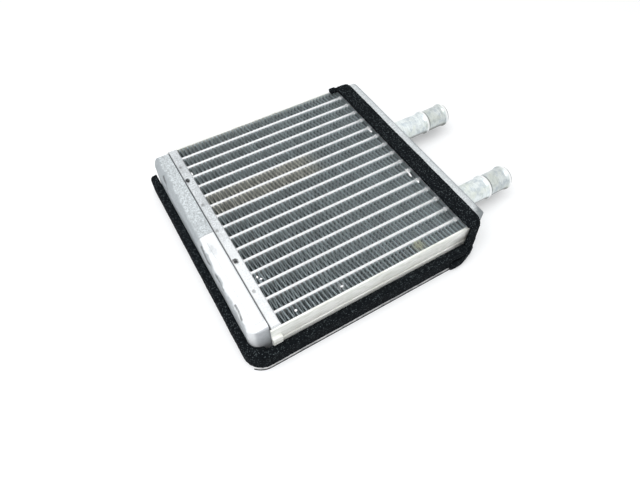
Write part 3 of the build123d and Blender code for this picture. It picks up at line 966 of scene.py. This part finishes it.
    # Painted light and shade: each flank is lighter or darker by its side of the wave, and a
    # little at random, stored as the flank attribute
    chance = add(tree, "ShaderNodeTexWhiteNoise", {
        "W": maths(tree, "ADD", index, given["Seed"])}, noise_dimensions="1D").outputs["Value"]
    lit_and_shaded_sides = maths(tree, "MULTIPLY", maths(tree, "SUBTRACT", odd, 0.5), given["Contrast"])
    turned_to_light = maths(tree, "ADD", maths(tree, "ADD", lit_and_shaded_sides, FLANK_TONE),
                            maths(tree, "MULTIPLY", chance, FLANK_SPREAD))
    row = add(tree, "GeometryNodeJoinGeometry")
    for part, light in ((flank_row, turned_to_light), (bend_row, 0.5)):
        stored = add(tree, "GeometryNodeStoreNamedAttribute", {
            "Geometry": part.outputs[0], "Name": "flank", "Value": light,
        }, data_type="FLOAT", domain="INSTANCE")
        tree.links.new(stored.outputs[0], row.inputs[0])
    real = add(tree, "GeometryNodeRealizeInstances", {"Geometry": row.outputs[0]}).outputs[0]
    bowed = add(tree, "GeometryNodeSetPosition", {
        "Geometry": real, "Offset": vector(tree, fin_shift(tree, given))})
    moved = add(tree, "GeometryNodeTransform", {
        "Geometry": bowed.outputs[0], "Translation": given["Low Corner"]})
    finished = add(tree, "GeometryNodeSetMaterial", {
        "Geometry": moved.outputs[0], "Material": given["Material"]})
    tree.links.new(finished.outputs[0], out["Geometry"])
    return tree


def fin_shift(tree, given):
    """Sideways shift of a fin row's points: a slow waver, and one knocked place."""
    at = add(tree, "GeometryNodeInputPosition").outputs[0]
    parts = add(tree, "ShaderNodeSeparateXYZ", {0: at}).outputs
    up = maths(tree, "DIVIDE", parts["Y"], given["Height"])
    held = maths(tree, "MULTIPLY", maths(tree, "MULTIPLY", up, maths(tree, "SUBTRACT", 1, up)), 4)
    scaled = vectors(tree, "MULTIPLY", at, WAVER_SCALE).outputs[0]
    uneven = add(tree, "ShaderNodeTexNoise", {
        "Vector": scaled, "W": given["Seed"], "Scale": 1.0, "Detail": 1.0,
    }, noise_dimensions="4D").outputs[0]
    waver = maths(tree, "MULTIPLY",
                  maths(tree, "MULTIPLY", maths(tree, "SUBTRACT", uneven, 0.5), 4),
                  given["Waver"])
    away = vectors(tree, "DISTANCE", at, given["Bend Place"]).outputs["Value"]
    knock = add(tree, "ShaderNodeMapRange", {
        "Value": away, "From Min": 0.0, "From Max": given["Bend Reach"],
        "To Min": given["Bend Shift"], "To Max": 0.0,
    }, interpolation_type="SMOOTHSTEP").outputs[0]
    return maths(tree, "MULTIPLY", maths(tree, "ADD", waver, knock), held)


class CORE_OT_fins(Operator):
    """Fold the louvred fin rows between the tubes"""

    bl_idname = "heater_core.fins"
    bl_label = "Fins"

    def execute(self, context):
        fin = settings().fin
        tree = fin_tree()
        for number, node in enumerate(FINS):
            corner = low(node)
            extent = high(node) - corner
            along = KNOCK_START + KNOCK_STEP * (number % 3)
            knocked = Vector((extent.x * along, extent.y / 2, extent.z))
            mesh = grown(f"{node}_folded", tree, {
                "Low Corner": corner, "Length": extent.x, "Height": extent.y,
                "Depth": extent.z, "Waves": fin.waves, "Gauge": fin.gauge,
                "Crest": fin.crest, "Leg": fin.leg, "Entry": fin.entry,
                "Louvres": fin.louvres, "Louvre Angle": fin.louvre_angle,
                "Waver": fin.waver, "Seed": 3.7 * number, "Bend Place": knocked,
                "Bend Reach": KNOCK_REACH, "Bend Shift": fin.knock,
                "Contrast": FIN_CONTRAST if number else NEAR_CONTRAST,
                "Material": MATERIALS["fin"],
            })
            place(f"{node}_folded", mesh, MATERIALS["fin"], "fin", node)
        return {"FINISHED"}


def bead_tree():
    """Geometry tree of braze beads: a rounded blob on each point, by its reach."""
    tree, given, out = new_tree("Braze Beads", "GeometryNodeTree", [
        ("Points", "NodeSocketGeometry", None),
        ("Material", "NodeSocketMaterial", None),
    ], [("Geometry", "NodeSocketGeometry")])
    blob = add(tree, "GeometryNodeMeshIcoSphere", {"Radius": 1.0, "Subdivisions": 3}).outputs[0]
    at = add(tree, "GeometryNodeInputPosition").outputs[0]
    lump = add(tree, "ShaderNodeTexNoise", {"Vector": at, "Scale": 1.3}).outputs[0]
    swell = maths(tree, "MULTIPLY", maths(tree, "SUBTRACT", lump, 0.5), 0.9)
    lumpy = add(tree, "GeometryNodeSetPosition", {
        "Geometry": blob,
        "Offset": add(tree, "ShaderNodeVectorMath", {0: at, "Scale": swell},
                      operation="SCALE").outputs[0]})
    reach = add(tree, "GeometryNodeInputNamedAttribute", {"Name": "reach"},
                data_type="FLOAT_VECTOR").outputs[0]
    beads = add(tree, "GeometryNodeInstanceOnPoints", {
        "Points": given["Points"], "Instance": lumpy.outputs[0], "Scale": reach})
    real = add(tree, "GeometryNodeRealizeInstances", {"Geometry": beads.outputs[0]}).outputs[0]
    finished = add(tree, "GeometryNodeSetMaterial", {
        "Geometry": real, "Material": given["Material"]})
    tree.links.new(finished.outputs[0], out["Geometry"])
    return tree


def bead_points(beads):
    """Points for braze beads, each with its reach along X, Y and Z."""
    mesh = bpy.data.meshes.new("bead_points")
    mesh.from_pydata([at for at, _ in beads], [], [])
    reaches = mesh.attributes.new("reach", "FLOAT_VECTOR", "POINT")
    for item, (_, reach) in zip(reaches.data, beads):
        item.vector = reach
    return mesh


class CORE_OT_tubes(Operator):
    """Finish the flat tubes and seat them in the headers with braze"""

    bl_idname = "heater_core.tubes"
    bl_label = "Tubes"

    def execute(self, context):
        beads = []
        for number, node in enumerate(TUBES):
            dress(node, MATERIALS["tube"])
            core = middle(node)
            for end in (low("fin_01").x - 0.3 * MM, high("fin_01").x - 2.6 * MM):
                for edge in (-1, 1):
                    uneven = 1 + 0.5 * noise.noise(Vector((number * 3.1, end * 90, edge)))
                    at = Vector((end, core.y + edge * 1.0 * MM, CORE_TOP - 0.9 * MM))
                    beads.append((at, BEAD_REACH * uneven))
        for x, y, reach_x, reach_y in DRIPS:
            beads.append((Vector((x * MM, y * MM, CORE_TOP - 0.4 * MM)),
                          Vector((reach_x, reach_y, 0.7)) * MM))
        mesh = grown("braze", bead_tree(), {"Material": MATERIALS["braze"]}, bead_points(beads))
        mesh.shade_smooth()
        place("braze", mesh, MATERIALS["braze"], "tube")
        return {"FINISHED"}


def bend_walls(shape, node, tank, seed):
    """Slow waves in a pressed tank's walls, and the left tank's dents, none at the seam."""
    for point in shape.verts:
        if node == "tank_left":
            free = smooth((SEAM_X - point.co.x) / HELD_STRETCH)
            above_tape = smooth((point.co.z - high("foam_left").z) / HELD_STRETCH)
            push = sum(
                depth * smooth(1 - abs(point.co.y / MM - at) / reach)
                for at, reach, depth in DENTS
            )
            at_wall = smooth((WALL_X + 7 * MM - point.co.x) / (6 * MM))
            point.co += DENT_PUSH * push * MM * free * above_tape * at_wall
        else:
            free = smooth((point.co.x - high("header_right").x) / HELD_STRETCH)
        at = point.co / tank.wave_length
        outwards = Vector((
            noise.noise(at + Vector((seed, 0, 0))),
            noise.noise(at + Vector((0, seed, 5))) * 0.4,
            noise.noise(at + Vector((3, 0, seed))),
        ))
        point.co += outwards * tank.waver * free
        point.co.z = max(point.co.z, 0.0)


class CORE_OT_tanks(Operator):
    """Press the two tanks, with slow waves and dents in their walls"""

    bl_idname = "heater_core.tanks"
    bl_label = "Tanks"

    def execute(self, context):
        tank = settings().tank
        for number, node in enumerate(TANKS):
            shape = merged_copy(node)
            cut_up(shape, tank.cell)
            bend_walls(shape, node, tank, 11.0 * number)
            mesh = finished_mesh(shape, f"{node}_pressed")
            place(f"{node}_pressed", mesh, MATERIALS[node], "tank", node)
        return {"FINISHED"}


class CORE_OT_headers(Operator):
    """Finish the header trays"""

    bl_idname = "heater_core.headers"
    bl_label = "Headers"

    def execute(self, context):
        for node in HEADERS:
            dress(node, MATERIALS["header"])
        dress("tank_partition", MATERIALS["header"])
        return {"FINISHED"}


class CORE_OT_plates(Operator):
    """Finish the side plates"""

    bl_idname = "heater_core.plates"
    bl_label = "Side plates"

    def execute(self, context):
        for node in PLATES:
            dress(node, MATERIALS["plate"])
        return {"FINISHED"}


def stub_radius(at, beads, stub, plain):
    """Radius of a hose stub at a place along it."""
    rise = 0.0
    for crest in beads:
        if at < crest:
            part = smooth(1 - (crest - stub.land / 2 - at) / stub.slope)
        else:
            part = smooth(1 - (at - crest - stub.land / 2) / stub.back)
        rise = max(rise, part)
    return plain + stub.rise * rise


def stub_tone(at, beads, stub):
    """Tone of a stub at a place along it: 1 for a painted highlight on a crest, -1 for painted
    shade in the groove behind it.
    """
    tone = NECK_TONE if beads[0] < at < beads[1] else 0.0
    for crest in beads:
        groove = crest + stub.land / 2 + stub.back
        tone += CREST_HIGHLIGHT * smooth(1 - abs(at - crest) / stub.land)
        tone += GROOVE_SHADE * smooth(1 - abs(at - groove) / GROOVE)
    return tone


def turned_mesh(name, profile, centre, segments):
    """A closed profile of places along X, radii and tones, turned about X."""
    shape = bmesh.new()
    rings = []
    for at, radius, _ in profile:
        ring = []
        for step in range(segments):
            angle = 2 * math.pi * step / segments
            ring.append(shape.verts.new((
                at, centre.y + radius * math.cos(angle), centre.z + radius * math.sin(angle))))
        rings.append(ring)
    for first, second in zip(rings, rings[1:] + rings[:1]):
        for step in range(segments):
            after = (step + 1) % segments
            shape.faces.new((first[step], first[after], second[after], second[step]))
    bmesh.ops.recalc_face_normals(shape, faces=shape.faces)
    mesh = finished_mesh(shape, name, 50)
    tones = mesh.attributes.new("tone", "FLOAT", "POINT")
    for index, item in enumerate(tones.data):
        item.value = profile[index // segments][2]
    return mesh


class CORE_OT_stubs(Operator):
    """Turn the two hose stubs with their stop beads and end beads"""

    bl_idname = "heater_core.stubs"
    bl_label = "Hose stubs"

    def execute(self, context):
        stub = settings().stub
        for node in STUBS:
            start, end = low(node).x, high(node).x
            plain = (high(node).z - low(node).z) / 2 - stub.rise
            bore = plain - stub.wall
            end_bead = end - stub.mouth
            beads = (end_bead - stub.bead_spacing, end_bead)
            profile = []
            for step in range(STUB_STEPS + 1):
                at = start + (end - stub.lip - start) * step / STUB_STEPS
                profile.append((at, stub_radius(at, beads, stub, plain),
                                stub_tone(at, beads, stub)))
            outer = profile[-1][1]
            for step in range(1, LIP_STEPS):
                angle = math.pi * step / LIP_STEPS
                profile.append((end - stub.lip + stub.lip * math.sin(angle),
                                (outer + bore) / 2 + (outer - bore) / 2 * math.cos(angle),
                                LIP_TONE))
            profile.append((end - stub.lip, bore, BORE_SHADE))
            profile.append((start, bore, BORE_SHADE))
            mesh = turned_mesh(f"{node}_turned", profile, middle(node), stub.segments)
            place(f"{node}_turned", mesh, MATERIALS["stub"], "stub", node)
        return {"FINISHED"}


def foam_mesh(name, tape, seed, *nodes):
    """The shape of some foam strips with soft edges and an open grain."""
    holder = linked(name, finished_mesh(merged_copy(*nodes), name))
    remesh = holder.modifiers.new("cells", "REMESH")
    remesh.mode = "VOXEL"
    remesh.voxel_size = tape.cell
    soft = holder.modifiers.new("soft", "SMOOTH")
    soft.factor = 0.5
    soft.iterations = 6
    mesh = settled(holder)
    bpy.data.objects.remove(holder)
    for point in mesh.vertices:
        fine = noise.noise(point.co / FOAM_GRAIN + Vector((seed, 0, 0)))
        slow = noise.noise(point.co / FOAM_WAVES)
        point.co += point.normal * (fine + slow) * tape.rough
        point.co.z = max(point.co.z, 0.0)
    mesh.shade_smooth()
    return mesh


def ribbon(path, width, height):
    """A thin flat ribbon on the floor along a path, with its ends closed."""
    shape = bmesh.new()
    rings = []
    for index, point in enumerate(path):
        before = path[max(0, index - 1)]
        after = path[min(len(path) - 1, index + 1)]
        along = (after - before).normalized()
        across = Vector((along.y, -along.x, 0)) * width / 2
        corners = (point - across, point + across)
        rings.append([shape.verts.new(corner + Vector((0, 0, rise)))
                      for corner, rise in ((corners[0], 0), (corners[1], 0),
                                           (corners[1], height), (corners[0], height))])
    for first, second in zip(rings, rings[1:]):
        for side in range(4):
            after = (side + 1) % 4
            shape.faces.new((first[side], second[side], second[after], first[after]))
    shape.faces.new(rings[0])
    shape.faces.new(reversed(rings[-1]))
    bmesh.ops.recalc_face_normals(shape, faces=shape.faces)
    return shape


def liner_mesh(name, outwards, width, height):
    """A thin strip at the foot of the near tape and round the corner, for the liner's edge and
    for the dark strip of painted shadow outside it.
    """
    foot = low("foam_near").y
    centre = Vector((low("foam_left").x + STRIP_CORNER, foot + STRIP_CORNER, 0))
    path = []
    for step in range(10):
        around = math.radians(CORNER_START + CORNER_TURN * step / 9)
        path.append(centre + Vector((math.cos(around), math.sin(around), 0))
                    * (STRIP_CORNER + outwards))
    path += [Vector((x, foot - outwards, 0)) for x in STRIP_PLACES]
    return finished_mesh(ribbon(path, width, height), name)


class CORE_OT_tape(Operator):
    """Lay the black foam tape round the core, with the edge of its liner"""

    bl_idname = "heater_core.tape"
    bl_label = "Foam tape"

    def execute(self, context):
        tape = settings().tape
        for seed, (name, nodes) in enumerate((
            ("foam_round", ("foam_left", "foam_near")), ("foam_over", ("foam_top",)),
        )):
            mesh = foam_mesh(name, tape, 9.0 * seed, *nodes)
            piece = place(name, mesh, MATERIALS["foam"], "foam", *nodes)
        inner = liner_mesh("tape_liner", STRIP_GAP, tape.liner, LINER_TOP)
        place("tape_liner", inner, MATERIALS["liner"], "foam")
        # Painted shadow: a dark strip outside the liner, where the tape's contact shadow falls on
        # the floor
        outer = liner_mesh("tape_shadow_strip", STRIP_GAP + tape.liner, tape.liner * 0.9,
                           SHADOW_STRIP_TOP)
        place("tape_shadow_strip", outer, MATERIALS["foam"], "foam")
        return {"FINISHED"}


def seen_rays(tree):
    """1 for the rays of the camera, of gloss and of glass, and 0 for those that give light."""
    path = add(tree, "ShaderNodeLightPath").outputs
    return maths(tree, "MAXIMUM", path["Is Camera Ray"],
                 maths(tree, "MAXIMUM", path["Is Glossy Ray"], path["Is Transmission Ray"]))


def pale_surface(name, tone, glow):
    """A pale floor that keeps the shadow and reads white to camera, gloss and glass."""
    material = bpy.data.materials.new(name)
    material.use_nodes = True
    tree = material.node_tree
    tree.nodes.clear()
    matt = add(tree, "ShaderNodeBsdfDiffuse", {"Color": (*tone, 1)}).outputs[0]
    light = add(tree, "ShaderNodeEmission", {
        "Color": (1, 1, 1, 1),
        "Strength": maths(tree, "MULTIPLY", seen_rays(tree), glow)}).outputs[0]
    both = add(tree, "ShaderNodeAddShader", {0: matt, 1: light}).outputs[0]
    add(tree, "ShaderNodeOutputMaterial", {"Surface": both})
    return material


class CORE_OT_stage(Operator):
    """Set up the pale floor, the even light, the large lamp and the camera"""

    bl_idname = "heater_core.stage"
    bl_label = "Stage"

    def execute(self, context):
        stage = settings().stage
        scene = context.scene
        mesh = bpy.data.meshes.new("Floor")
        corners = [(x * FLOOR_HALF, y * FLOOR_HALF, 0)
                   for x, y in ((-1, -1), (1, -1), (1, 1), (-1, 1))]
        mesh.from_pydata(corners, [], [(0, 1, 2, 3)])
        mesh.materials.append(pale_surface("Pale Floor", FLOOR_TONE, FLOOR_GLOW))
        linked("Floor", mesh)

        world = bpy.data.worlds.new("Studio")
        world.use_nodes = True
        tree = world.node_tree
        background = tree.nodes["Background"].inputs
        background["Color"].default_value = (1, 1, 1, 1)
        feed(tree, background["Strength"], between(tree, seen_rays(tree), stage.sky, 1.0))
        scene.world = world

        lamp = bpy.data.lights.new("Overhead", "AREA")
        lamp.shape = "DISK"
        lamp.size = LAMP_SIZE
        lamp.energy = stage.lamp
        overhead = linked("Overhead", lamp)
        overhead.location = LAMP_PLACE
        aim = Vector((0, 0, 0)) - overhead.location
        overhead.rotation_euler = aim.to_track_quat("-Z", "Y").to_euler()

        camera = bpy.data.cameras.new("Camera")
        camera.sensor_width = 36
        camera.lens = stage.lens
        camera.clip_start = 0.01
        scene.camera = linked("Camera", camera)
        turned = (Matrix.Rotation(stage.pan, 4, "Z") @ Matrix.Rotation(stage.tilt, 4, "X")
                  @ Matrix.Rotation(stage.roll, 4, "Z"))
        scene.camera.matrix_world = Matrix.Translation(stage.camera) @ turned
        scene.view_settings.view_transform = "Standard"
        return {"FINISHED"}


class CORE_PT_panel(Panel):
    """The heater core's operators and sizes"""

    bl_idname = "CORE_PT_panel"
    bl_label = "Heater core"
    bl_space_type = "VIEW_3D"
    bl_region_type = "UI"
    bl_category = "Heater core"

    def draw(self, context):
        for operator in OPERATORS:
            self.layout.operator(operator.bl_idname)
        for group in CoreSettings.__annotations__:
            box = self.layout.box()
            box.label(text=group.title())
            values = getattr(settings(), group)
            for name in values.__annotations__:
                box.prop(values, name)


GROUPS = (FinSizes, TankSizes, StubSizes, TapeSizes, StageSizes, Finishes, CoreSettings)
OPERATORS = (CORE_OT_stage, CORE_OT_fins, CORE_OT_tubes, CORE_OT_headers, CORE_OT_tanks,
             CORE_OT_plates, CORE_OT_stubs, CORE_OT_tape)


def register():
    """Register the add-on's classes and settings."""
    for item in (*GROUPS, *OPERATORS, CORE_PT_panel):
        bpy.utils.register_class(item)
    bpy.types.Scene.heater_core = PointerProperty(type=CoreSettings)


def unregister():
    """Take the add-on's classes and settings away."""
    del bpy.types.Scene.heater_core
    for item in reversed((*GROUPS, *OPERATORS, CORE_PT_panel)):
        bpy.utils.unregister_class(item)


def main():
    """Build the heater core and its stage."""
    register()
    MATERIALS.update(make_materials())
    for operator in OPERATORS:
        group, name = operator.bl_idname.split(".")
        getattr(getattr(bpy.ops, group), name)()


if __name__ == "__main__":
    main()
